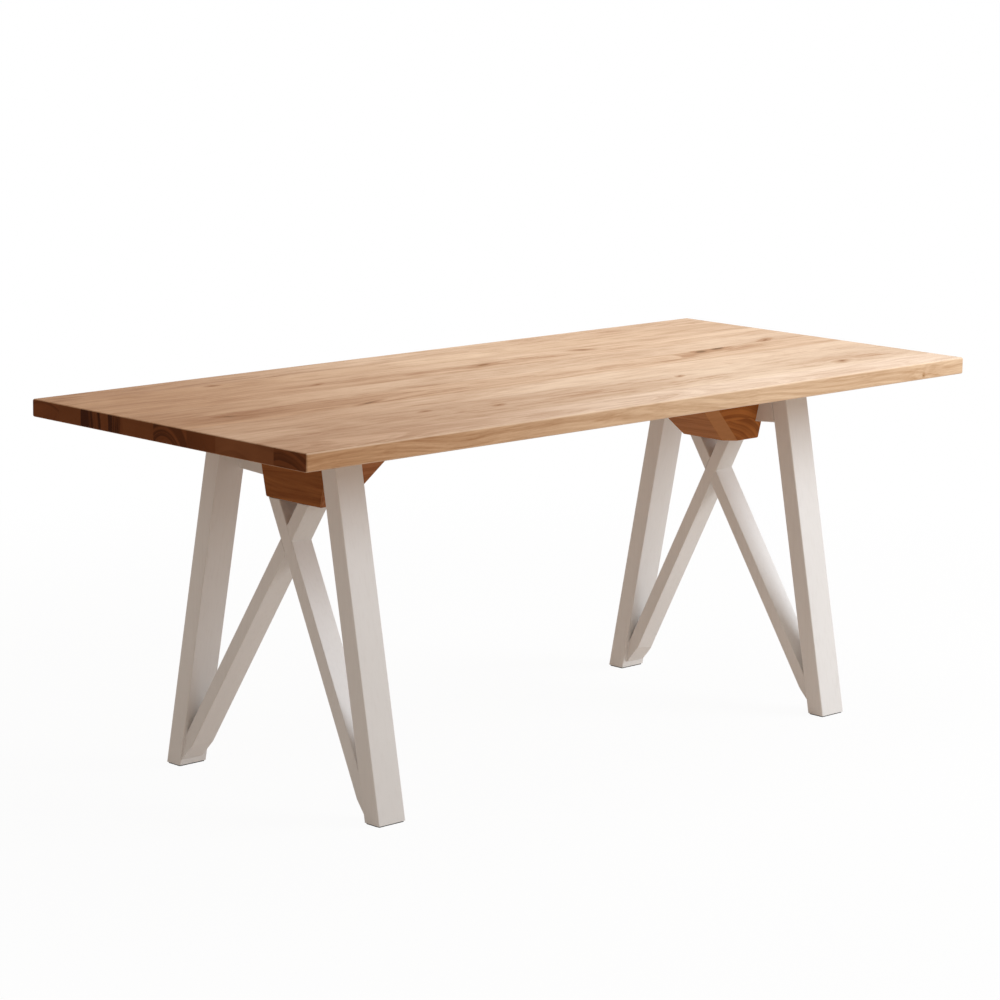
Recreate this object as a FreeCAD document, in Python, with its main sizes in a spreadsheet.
import FreeCAD, Part
import math
import os
import re
import Sketcher

# A sawbuck table: a glued-up oak top on two white trestles, each with splayed legs, crossed braces
# that lean inwards, and an oak head block held between two cleats.
# Frame: X along the table, Y across it, Z up; the origin is on the floor, under the middle of the top.

# Driving sizes, in millimetres. A reach is a distance from the middle line along Y, and a set is how far
# a piece sits inwards of the middle of its trestle's legs along X. The reaches of a head block start from
# its own middle, which lies in front of the table's by the head lead.
SIZES = {
    # top
    "table_length": 1850.0,
    "table_width": 800.0,
    "table_height": 750.0,
    "top_thick": 35.0,
    "top_round": 4.0,
    # legs
    "leg_width": 68.0,
    "leg_thick": 41.0,
    "leg_round": 2.5,
    "trestle_inset": 291.0,
    "leg_foot_reach": 315.0,
    "leg_head_reach": 177.0,
    # glides under the feet
    "glide_thick": 2.5,
    "glide_inset": 2.0,
    "glide_round": 3.0,
    # braces
    "brace_depth": 52.5,
    "brace_thick": 27.5,
    "brace_round": 2.0,
    "brace_foot_set": -6.0,
    "brace_head_set": 39.0,
    "brace_foot_reach": 283.0,
    "cross_height": 494.0,
    "toe_low": 14.0,
    "toe_high": 52.0,
    # oak head blocks
    "head_height": 145.0,
    "head_outer_set": 12.0,
    "nose_top_set": 258.0,
    "nose_foot_set": 101.0,
    "head_lead": 14.0,
    "head_top_reach": 114.0,
    "head_foot_reach": 80.0,
    "corner_run": 24.0,
    "corner_cut": 25.0,
    "head_round": 4.0,
    # cleats
    "cleat_depth": 14.0,
    "cleat_leg_height": 102.0,
    "cleat_head_height": 106.0,
    "cleat_round": 2.0,
    # dowels
    "dowel_diameter": 8.0,
    "dowel_length": 40.0,
    "dowel_gap": 0.15,
    "dowel_end_gap": 1.0,
    "toe_dowel_height": 52.0,
    "toe_dowel_grip": 15.0,
    "cleat_dowel_diameter": 6.0,
    "cleat_dowel_length": 24.0,
    "upper_leg_dowel_drop": 22.0,
    "lower_leg_dowel_drop": 60.0,
    "upper_head_dowel_drop": 38.0,
    "lower_head_dowel_drop": 78.0,
    "top_dowel_diameter": 12.0,
    "top_dowel_length": 40.0,
    "top_dowel_rise": 16.0,
    # bolts that hold the top
    "bolt_diameter": 8.0,
    "bolt_gap": 0.5,
    "bolt_grip": 60.0,
    "bolt_reach": 14.0,
    "bolt_head_diameter": 13.0,
    "bolt_head_height": 8.0,
    "socket_width": 6.0,
    "socket_depth": 4.0,
    "washer_diameter": 16.0,
    "washer_thick": 1.6,
    "counterbore_diameter": 18.0,
    "insert_diameter": 12.0,
    "insert_length": 18.0,
    "insert_gap": 0.15,
    "bolt_pair_set": 78.0,
    "bolt_pair_reach": 45.0,
    "bolt_single_set": 37.0,
    # every cutter runs past what it cuts by this much
    "overrun": 5.0,
}

# Stations, distances from the middle of the table along X: the legs keep their place from an end of the
# top, and the other pieces of a trestle theirs from the legs.
STATIONS = {"leg_station": "table_length / 2 - trestle_inset"}
SET_PIECES = ("brace_foot", "brace_head", "head_outer", "nose_top", "nose_foot", "bolt_pair", "bolt_single")
for set_piece in SET_PIECES:
    STATIONS[f"{set_piece}_station"] = f"leg_station - {set_piece}_set"

# Seams of the top, as shares of its width from the front edge, and of a head block, as shares of its height
SEAM_SHARES = (0.0, 0.11, 0.3125, 0.415, 0.536, 0.65, 0.81, 0.894, 1.0)
PLANK_SHARES = (0.0, 1 / 3, 2 / 3, 1.0)
PLANK_NAMES = ("lower", "middle", "upper")
# An edge runs along an axis where this share of its direction lies on it, and two heights are the same
# where they differ by less than this share
STRAIGHT_SHARE = 0.999
CLOSE_SHARE = 1e-6

ALONG = FreeCAD.Vector(1, 0, 0)
ACROSS = FreeCAD.Vector(0, 1, 0)
UPWARD = FreeCAD.Vector(0, 0, 1)
# Turns of a round rod: upright, or pointing to the back of the table
UPRIGHT = "rotation(0; 0; 0)"
TO_THE_BACK = "rotation(0; 0; -90)"

doc = FreeCAD.newDocument("SawbuckTable")
sheet = doc.addObject("Spreadsheet::Sheet", "Sizes")
cells = {alias: str(size) for alias, size in SIZES.items()}
cells.update({alias: "=" + formula for alias, formula in STATIONS.items()})
for row, (alias, cell) in enumerate(cells.items(), start=1):
    sheet.set(f"A{row}", alias)
    sheet.set(f"B{row}", cell)
    sheet.setAlias(f"B{row}", alias)
doc.recompute()

SIZE_WORDS = re.compile(r"\b(" + "|".join(cells) + r")\b")


def sized(formula):
    """A formula of size names, as one that looks the sizes up on the sheet."""
    return SIZE_WORDS.sub(r"Sizes.\1", formula)


def measure(formula):
    """What a formula of size names comes to."""
    return float(sheet.evalExpression(sized(formula)))


# Lines that several pieces share, as formulas of the sizes; z is a height above the floor.
UNDERSIDE = "(table_height - top_thick)"
HEAD_FOOT = f"({UNDERSIDE} - head_height)"
BOLT_SEAT = f"({UNDERSIDE} - bolt_grip)"
CLEAT_LEG_FOOT = f"({UNDERSIDE} - cleat_leg_height)"
CLEAT_HEAD_FOOT = f"({UNDERSIDE} - cleat_head_height)"
CLEAT_EDGE = f"(({CLEAT_LEG_FOOT} + {CLEAT_HEAD_FOOT}) / 2)"
LEG_SLOPE = f"((leg_foot_reach - leg_head_reach) / {UNDERSIDE})"
HEAD_SLOPE = "((head_top_reach - head_foot_reach) / head_height)"
BRACE_SLOPE = "(brace_foot_reach / cross_height)"
BRACE_LEAN = f"((brace_foot_station - brace_head_station) / {HEAD_FOOT})"
BRACE_LEVEL = f"(brace_thick * sqrt(1 + {BRACE_SLOPE} ^ 2))"
BRACE_STOCK = "(2 * (cross_height + brace_foot_reach))"
LEG_NEAR = "(leg_station - leg_width / 2)"
CLEAT_MIDDLE = f"({LEG_NEAR} + cleat_depth / 2)"


def leg_outer(z):
    """Reach of a leg's outer face."""
    return f"(leg_foot_reach - {z} * {LEG_SLOPE})"


def leg_inner(z):
    """Reach of a leg's inner face."""
    return f"({leg_outer(z)} - leg_thick)"


def head_side(z, side):
    """Reach of a head block's flaring side, shorter at the back and longer at the front."""
    lead = "- head_lead" if side == "back" else "+ head_lead"
    return f"(head_foot_reach + ({z} - {HEAD_FOOT}) * {HEAD_SLOPE} {lead})"


def brace_reach(z):
    """Reach of a brace's middle line: positive below the crossing, negative above it."""
    return f"((cross_height - {z}) * {BRACE_SLOPE})"


def brace_station(z):
    """Station of a brace's middle line, which leans inwards."""
    return f"(brace_foot_station - {z} * {BRACE_LEAN})"


def outline(body, name, plane, corners, offset):
    """A closed outline of straight sides on one of the body's planes, moved along the plane's normal."""
    sketch = body.newObject("Sketcher::SketchObject", name)
    base = next(feature for feature in body.Origin.OriginFeatures if feature.Role == plane)
    sketch.AttachmentSupport = [(base, "")]
    sketch.MapMode = "FlatFace"
    sketch.setExpression("AttachmentOffset.Base.z", sized(offset))
    points = [FreeCAD.Vector(measure(u), measure(v), 0) for u, v in corners]
    for start, end in zip(points, points[1:] + points[:1]):
        sketch.addGeometry(Part.LineSegment(start, end))
    for number, corner in enumerate(corners):
        following = (number + 1) % len(corners)
        sketch.addConstraint(Sketcher.Constraint("Coincident", number, 2, following, 1))
        for direction, formula in zip(("DistanceX", "DistanceY"), corner):
            place = Sketcher.Constraint(direction, -1, 1, number, 1, measure(formula))
            index = sketch.addConstraint(place)
            sketch.setExpression(f"Constraints[{index}]", sized(formula))
    return sketch


def prism(name, plane, corners, offset, length):
    """A body with a straight-sided section, carried along the section plane's normal."""
    body = doc.addObject("PartDesign::Body", name)
    section = outline(body, name + "_section", plane, corners, offset)
    pad = body.newObject("PartDesign::Pad", name + "_pad")
    pad.Profile = section
    pad.setExpression("Length", sized(length))
    doc.recompute()
    return body


def ease(body, radius, chosen):
    """Round the edges of a body that chosen picks out."""
    feature = body.Tip
    edges = [f"Edge{n}" for n, edge in enumerate(feature.Shape.Edges, start=1) if chosen(edge)]
    fillet = body.newObject("PartDesign::Fillet", body.Name + "_eased")
    fillet.Base = (feature, edges)
    fillet.setExpression("Radius", sized(radius))
    doc.recompute()


def along(edge, axis):
    """Whether an edge runs along an axis."""
    return abs(edge.tangentAt(edge.FirstParameter).dot(axis)) > STRAIGHT_SHARE


def level(edge):
    """Whether an edge lies level."""
    return abs(edge.tangentAt(edge.FirstParameter).z) < 1 - STRAIGHT_SHARE


def at_height(edge, formula):
    """Whether the middle of an edge is at a height given by a formula."""
    return math.isclose(edge.CenterOfMass.z, measure(formula), rel_tol=CLOSE_SHARE)


def placed(piece, x, y, z, turn=UPRIGHT):
    """Put a piece at a place given by formulas, turned by yaw, pitch and roll."""
    piece.setExpression("Placement", sized(f"placement(vector({x}; {y}; {z}); {turn})"))
    return piece


def block(name, x, y, z, length, width, height):
    """A box from its lowest corner and its sizes."""
    box = doc.addObject("Part::Box", name)
    box.setExpression("Length", sized(length))
    box.setExpression("Width", sized(width))
    box.setExpression("Height", sized(height))
    return placed(box, x, y, z)


def rod(name, diameter, length, x, y, z, turn=UPRIGHT):
    """A round rod from the middle of its first end, upright or across the table."""
    cylinder = doc.addObject("Part::Cylinder", name)
    cylinder.setExpression("Radius", sized(f"({diameter}) / 2"))
    cylinder.setExpression("Height", sized(length))
    return placed(cylinder, x, y, z, turn)


def together(name, pieces):
    """Several separate solids as one group."""
    group = doc.addObject("Part::Compound", name)
    group.Links = pieces
    return group


def cut(name, base, tools):
    """A piece with the shapes of tools taken out of it."""
    result = doc.addObject("Part::Cut", name)
    result.Base = base
    result.Tool = tools[0] if len(tools) == 1 else together(name + "_cutters", tools)
    return result


def joined(name, kind, first, second):
    """Two shapes fused or intersected."""
    result = doc.addObject(kind, name)
    result.Base = first
    result.Tool = second
    return result


def mirrored(name, source, normal):
    """The mirror image of a piece in a plane through the origin."""
    image = doc.addObject("Part::Mirroring", name)
    image.Source = source
    image.Normal = normal
    return image


# Dowels of the back right corner with the bores that they sit in; the other corners are mirror images. What
# joins the front of a head block is laid out in the same corner with the longer reach, then mirrored too.
def dowel(name, x, y, z, turn=UPRIGHT, kind="dowel"):
    """A dowel from its first end, and the bore that it sits in, a little wider and longer."""
    pin = rod(name, f"{kind}_diameter", f"{kind}_length", x, y, z, turn)
    if turn == UPRIGHT:
        bore_start = (x, y, f"({z} - dowel_end_gap)")
    else:
        bore_start = (x, f"({y} - dowel_end_gap)", z)
    bore_wide = f"{kind}_diameter + 2 * dowel_gap"
    bore_long = f"{kind}_length + 2 * dowel_end_gap"
    return pin, rod(name + "_bore", bore_wide, bore_long, *bore_start, turn)


def cleat_dowels(name, joint, meeting):
    """The two dowels between a cleat and the leg or the head block, half in each piece."""
    pairs = []
    for tier in ("upper", "lower"):
        height = f"({UNDERSIDE} - {tier}_{joint}_dowel_drop)"
        start = f"({meeting(height)} - cleat_dowel_length / 2)"
        pairs.append(dowel(f"{tier}_{name}_dowel", CLEAT_MIDDLE, start, height, TO_THE_BACK, "cleat_dowel"))
    return pairs


leg_dowels = cleat_dowels("leg", "leg", leg_inner)
head_dowels = {}
for side in ("back", "front"):
    head_dowels[side] = cleat_dowels(side + "_head", "head", lambda z: head_side(z, side))

toe_start = f"({leg_inner('toe_dowel_height')} - toe_dowel_grip)"
toe_dowel = dowel("toe_dowel", brace_station("toe_dowel_height"), toe_start, "toe_dowel_height", TO_THE_BACK)

arm_dowel_foot = f"({HEAD_FOOT} - dowel_length / 2)"
arm_dowel_reach = brace_reach(f"({HEAD_FOOT} - dowel_length / 4)")
arm_dowel = dowel("arm_dowel", brace_station(HEAD_FOOT), arm_dowel_reach, arm_dowel_foot)

top_dowel_foot = f"({UNDERSIDE} + top_dowel_rise - top_dowel_length)"
top_dowel_reach = f"({leg_outer(top_dowel_foot)} - leg_thick / 2)"
top_dowel = dowel("top_dowel", "leg_station", top_dowel_reach, top_dowel_foot, kind="top_dowel")


def top_fixing(name, x, y):
    """One bolt, its washer and its threaded insert, with the bores in the head block and the top."""
    washer_foot = f"({BOLT_SEAT} - washer_thick)"
    head_start = f"({washer_foot} - bolt_head_height)"
    shank_length = "washer_thick + bolt_grip + bolt_reach"
    shank = rod(name + "_shank", "bolt_diameter", shank_length, x, y, washer_foot)
    cap = rod(name + "_cap", "bolt_head_diameter", "bolt_head_height", x, y, head_start)
    socket = doc.addObject("Part::Prism", name + "_socket")
    socket.Polygon = 6
    socket.setExpression("Circumradius", sized("socket_width / sqrt(3)"))
    socket.setExpression("Height", sized("socket_depth"))
    placed(socket, x, y, head_start)
    bolt = cut(name + "_bolt", joined(name + "_blank", "Part::Fuse", cap, shank), [socket])

    bore_wide = "bolt_diameter + 2 * bolt_gap"
    washer_disc = rod(name + "_washer_disc", "washer_diameter", "washer_thick", x, y, washer_foot)
    washer_bore = rod(name + "_washer_bore", bore_wide, "washer_thick", x, y, washer_foot)
    washer = cut(name + "_washer", washer_disc, [washer_bore])

    sleeve = rod(name + "_sleeve", "insert_diameter", "insert_length", x, y, UNDERSIDE)
    thread = rod(name + "_thread", "bolt_diameter + 2 * insert_gap", "insert_length", x, y, UNDERSIDE)
    insert = cut(name + "_insert", sleeve, [thread])

    shank_bore = rod(name + "_shank_bore", bore_wide, "bolt_grip + 2 * overrun",
                     x, y, f"{BOLT_SEAT} - overrun")
    counterbore = rod(name + "_counterbore", "counterbore_diameter", f"{BOLT_SEAT} - {HEAD_FOOT} + overrun",
                      x, y, f"{HEAD_FOOT} - overrun")
    head_bore = joined(name + "_head_bore", "Part::Fuse", counterbore, shank_bore)
    top_bore = rod(name + "_top_bore", "insert_diameter + 2 * insert_gap",
                   "insert_length + dowel_end_gap + overrun", x, y, f"{UNDERSIDE} - overrun")
    return {"bolt": bolt, "washer": washer, "insert": insert, "head_bore": head_bore, "top_bore": top_bore}


fixings = [
    top_fixing("front_pair", "bolt_pair_station", "-bolt_pair_reach"),
    top_fixing("back_pair", "bolt_pair_station", "bolt_pair_reach"),
    top_fixing("single", "bolt_single_station", "0"),
]

pieces = {}


def right_and_left(name, source):
    """Name a piece of the right trestle, and its mirror image in the left trestle."""
    pieces["right_" + name] = source
    pieces["left_" + name] = mirrored("left_" + name, source, ALONG)


def four_corners(name, source):
    """Name a piece of the back right corner, and its mirror images in the other corners."""
    right_and_left("back_" + name, source)
    right_and_left("front_" + name, mirrored("right_front_" + name, source, ACROSS))


# Legs: a slanted bar with eased edges, cut level under the top and over its glide.
leg_section = [
    (leg_outer("glide_thick"), "glide_thick"),
    (leg_outer(UNDERSIDE), UNDERSIDE),
    (leg_inner(UNDERSIDE), UNDERSIDE),
    (leg_inner("glide_thick"), "glide_thick"),
]
leg_blank = prism("leg_blank", "YZ_Plane", leg_section, LEG_NEAR, "leg_width")
ease(leg_blank, "leg_round", lambda edge: not level(edge))
leg_bores = [bore for pin, bore in leg_dowels + [toe_dowel, top_dowel]]
four_corners("leg", cut("leg", leg_blank, leg_bores))

# Glides: thin pads, a little smaller than the foot.
glide_near = f"({LEG_NEAR} + glide_inset)"
glide_far = f"({LEG_NEAR} + leg_width - glide_inset)"
glide_inner = f"({leg_inner('glide_thick')} + glide_inset)"
glide_outer = f"({leg_outer('glide_thick')} - glide_inset)"
glide_section = [
    (glide_near, glide_inner),
    (glide_far, glide_inner),
    (glide_far, glide_outer),
    (glide_near, glide_outer),
]
glide = prism("glide", "XY_Plane", glide_section, "0", "glide_thick")
ease(glide, "glide_round", lambda edge: along(edge, UPWARD))
four_corners("glide", glide)


# Braces: a leaning bar with eased edges, trimmed by the leg, by the head block and by the bevelled toe.
def brace_bar(name, roll, near, far):
    """A bar through the crossing, turned by roll, that covers the section from near to far."""
    section = [(near, "-brace_thick / 2"), (far, "-brace_thick / 2"),
               (far, "brace_thick / 2"), (near, "brace_thick / 2")]
    bar = prism(name, "XY_Plane", section, f"-{BRACE_STOCK} / 2", BRACE_STOCK)
    turn = f"rotation(0; -atan({BRACE_LEAN}); {roll} * atan({BRACE_SLOPE}))"
    return placed(bar, brace_station("cross_height"), "0", "cross_height", turn)


toe_reach = f"({brace_reach('toe_high')} - {BRACE_LEVEL} / 2)"
bevel_end = (f"2 * {toe_reach} - {leg_inner('toe_low')}", "2 * toe_high - toe_low")
trim_section = [
    ("-leg_foot_reach", HEAD_FOOT),
    (leg_inner(HEAD_FOOT), HEAD_FOOT),
    (leg_inner("toe_low"), "toe_low"),
    bevel_end,
    ("-leg_foot_reach", bevel_end[1]),
]
back_trim = prism("back_trim", "YZ_Plane", trim_section, "0", "table_length / 2")
trims = {"back": back_trim, "front": mirrored("front_trim", back_trim, ACROSS)}

# At the crossing the back brace keeps its inner half and the front brace its outer half.
HALF_DEPTH = "brace_depth / 2"
laps = {
    "back": brace_bar("front_half", -1, "0", f"{HALF_DEPTH} + overrun"),
    "front": brace_bar("back_half", 1, f"-({HALF_DEPTH} + overrun)", "0"),
}
back_bores = [toe_dowel[1], arm_dowel[1]]
brace_bores = {
    "back": back_bores,
    "front": [mirrored(f"front_brace_bore_{n}", bore, ACROSS) for n, bore in enumerate(back_bores)],
}
for side, roll in (("back", 1), ("front", -1)):
    bar = brace_bar(side + "_bar", roll, f"-{HALF_DEPTH}", HALF_DEPTH)
    ease(bar, "brace_round", lambda edge: along(edge, UPWARD))
    trimmed = joined(side + "_trimmed", "Part::Common", bar, trims[side])
    right_and_left(side + "_brace", cut(side + "_brace", trimmed, [laps[side]] + brace_bores[side]))


# Head blocks: an outline at the foot lofted to a wider and longer one under the top, then sawn into planks.
def head_outline(nose, reach):
    """Level outline of a head block with its two inner corners cut off."""
    shoulder = f"({nose} + corner_run)"
    tip = f"({reach} - corner_cut)"
    corners = [("head_outer_station", reach), (shoulder, reach), (nose, tip),
               (nose, f"-{tip}"), (shoulder, f"-{reach}"), ("head_outer_station", f"-{reach}")]
    return [(x, f"({y} - head_lead)") for x, y in corners]


head_blank = doc.addObject("PartDesign::Body", "head_blank")
head_foot = outline(head_blank, "head_foot", "XY_Plane",
                    head_outline("nose_foot_station", "head_foot_reach"), HEAD_FOOT)
head_top = outline(head_blank, "head_top", "XY_Plane",
                   head_outline("nose_top_station", "head_top_reach"), UNDERSIDE)
loft = head_blank.newObject("PartDesign::AdditiveLoft", "head_loft")
loft.Profile = head_top
loft.Sections = [head_foot]
loft.Ruled = True
doc.recompute()
ease(head_blank, "head_round", lambda edge: not at_height(edge, UNDERSIDE))

head_bores = [bore for pin, bore in head_dowels["back"] + [arm_dowel]]
front_bores = [bore for pin, bore in head_dowels["front"] + [arm_dowel]]
head_bores += [mirrored(f"front_head_bore_{n}", bore, ACROSS) for n, bore in enumerate(front_bores)]
head_bores += [fixing["head_bore"] for fixing in fixings]
for plank, low_share, high_share in zip(PLANK_NAMES, PLANK_SHARES, PLANK_SHARES[1:]):
    slab = block(f"{plank}_slab", "0", "-table_width / 2", f"{HEAD_FOOT} + {low_share} * head_height",
                 "table_length / 2", "table_width", f"{high_share - low_share} * head_height")
    sawn = joined(f"{plank}_sawn", "Part::Common", head_blank, slab)
    right_and_left(f"head_plank_{plank}", cut(f"{plank}_plank", sawn, head_bores))

# Cleats: flush with the leg's near face, they fill the space between the leg and the head's flaring side,
# and their foot slopes down towards the head.
cleats = {}
for side in ("back", "front"):
    cleat_section = [
        (leg_inner(UNDERSIDE), UNDERSIDE),
        (head_side(UNDERSIDE, side), UNDERSIDE),
        (head_side(CLEAT_HEAD_FOOT, side), CLEAT_HEAD_FOOT),
        (leg_inner(CLEAT_LEG_FOOT), CLEAT_LEG_FOOT),
    ]
    cleat_blank = prism(side + "_cleat_blank", "YZ_Plane", cleat_section, LEG_NEAR, "cleat_depth")
    ease(cleat_blank, "cleat_round", lambda edge: at_height(edge, CLEAT_EDGE))
    cleat_bores = [bore for pin, bore in leg_dowels + head_dowels[side]]
    cleats[side] = cut(side + "_cleat_laid_out", cleat_blank, cleat_bores)
right_and_left("back_cleat", cleats["back"])
right_and_left("front_cleat", mirrored("right_front_cleat", cleats["front"], ACROSS))

# Top: one blank with rounded edges, ripped into staves along the glue seams.
top_section = [
    ("-table_length / 2", "-table_width / 2"),
    ("table_length / 2", "-table_width / 2"),
    ("table_length / 2", "table_width / 2"),
    ("-table_length / 2", "table_width / 2"),
]
top_blank = prism("top_blank", "XY_Plane", top_section, UNDERSIDE, "top_thick")
ease(top_blank, "top_round", lambda edge: True)
right_bores = [top_dowel[1], mirrored("front_top_dowel_bore", top_dowel[1], ACROSS)]
right_bores += [fixing["top_bore"] for fixing in fixings]
right_top_bores = together("right_top_bores", right_bores)
left_top_bores = mirrored("left_top_bores", right_top_bores, ALONG)
for number, (near_share, far_share) in enumerate(zip(SEAM_SHARES, SEAM_SHARES[1:]), start=1):
    strip = block(f"strip_{number}", "-table_length / 2", f"({near_share} - 1 / 2) * table_width", UNDERSIDE,
                  "table_length", f"{far_share - near_share} * table_width", "top_thick")
    ripped = joined(f"ripped_{number}", "Part::Common", top_blank, strip)
    pieces[f"top_stave_{number}"] = cut(f"stave_{number}", ripped, [right_top_bores, left_top_bores])


# Fixings, grouped by where they go.
def both_sides(name, pins, front_pins=None):
    """The pins of the back corner, and of the front corner as mirror images, in one group."""
    front = [mirrored(f"front_{name}_{n}", pin, ACROSS) for n, pin in enumerate(front_pins or pins)]
    return together(name, pins + front)


right_and_left("leg_dowels", both_sides("leg_dowels", [pin for pin, bore in leg_dowels]))
head_pins = {side: [pin for pin, bore in pairs] for side, pairs in head_dowels.items()}
right_and_left("head_dowels", both_sides("head_dowels", head_pins["back"], head_pins["front"]))
right_and_left("toe_dowels", both_sides("toe_dowels", [toe_dowel[0]]))
right_and_left("arm_dowels", both_sides("arm_dowels", [arm_dowel[0]]))
right_and_left("top_dowels", both_sides("top_dowels", [top_dowel[0]]))
for kind in ("bolt", "washer", "insert"):
    right_and_left(f"top_{kind}s", together(f"{kind}s", [fixing[kind] for fixing in fixings]))

# Every piece takes the name of its file.
for node, piece in pieces.items():
    piece.Label = node
doc.recompute()

failed = [thing.Label for thing in doc.Objects if {"Invalid", "Error"} & set(thing.State)]
for node, piece in pieces.items():
    if piece.Shape.isNull() or not piece.Shape.isValid() or not piece.Shape.Solids:
        failed.append(node)
if failed:
    raise SystemExit("not built: " + ", ".join(failed))

os.makedirs("parts", exist_ok=True)
for node, piece in pieces.items():
    piece.Shape.exportStep(f"parts/{node}.step")
    print(f"{node}: {len(piece.Shape.Solids)} solids, {piece.Shape.Volume:.0f} cubic mm")
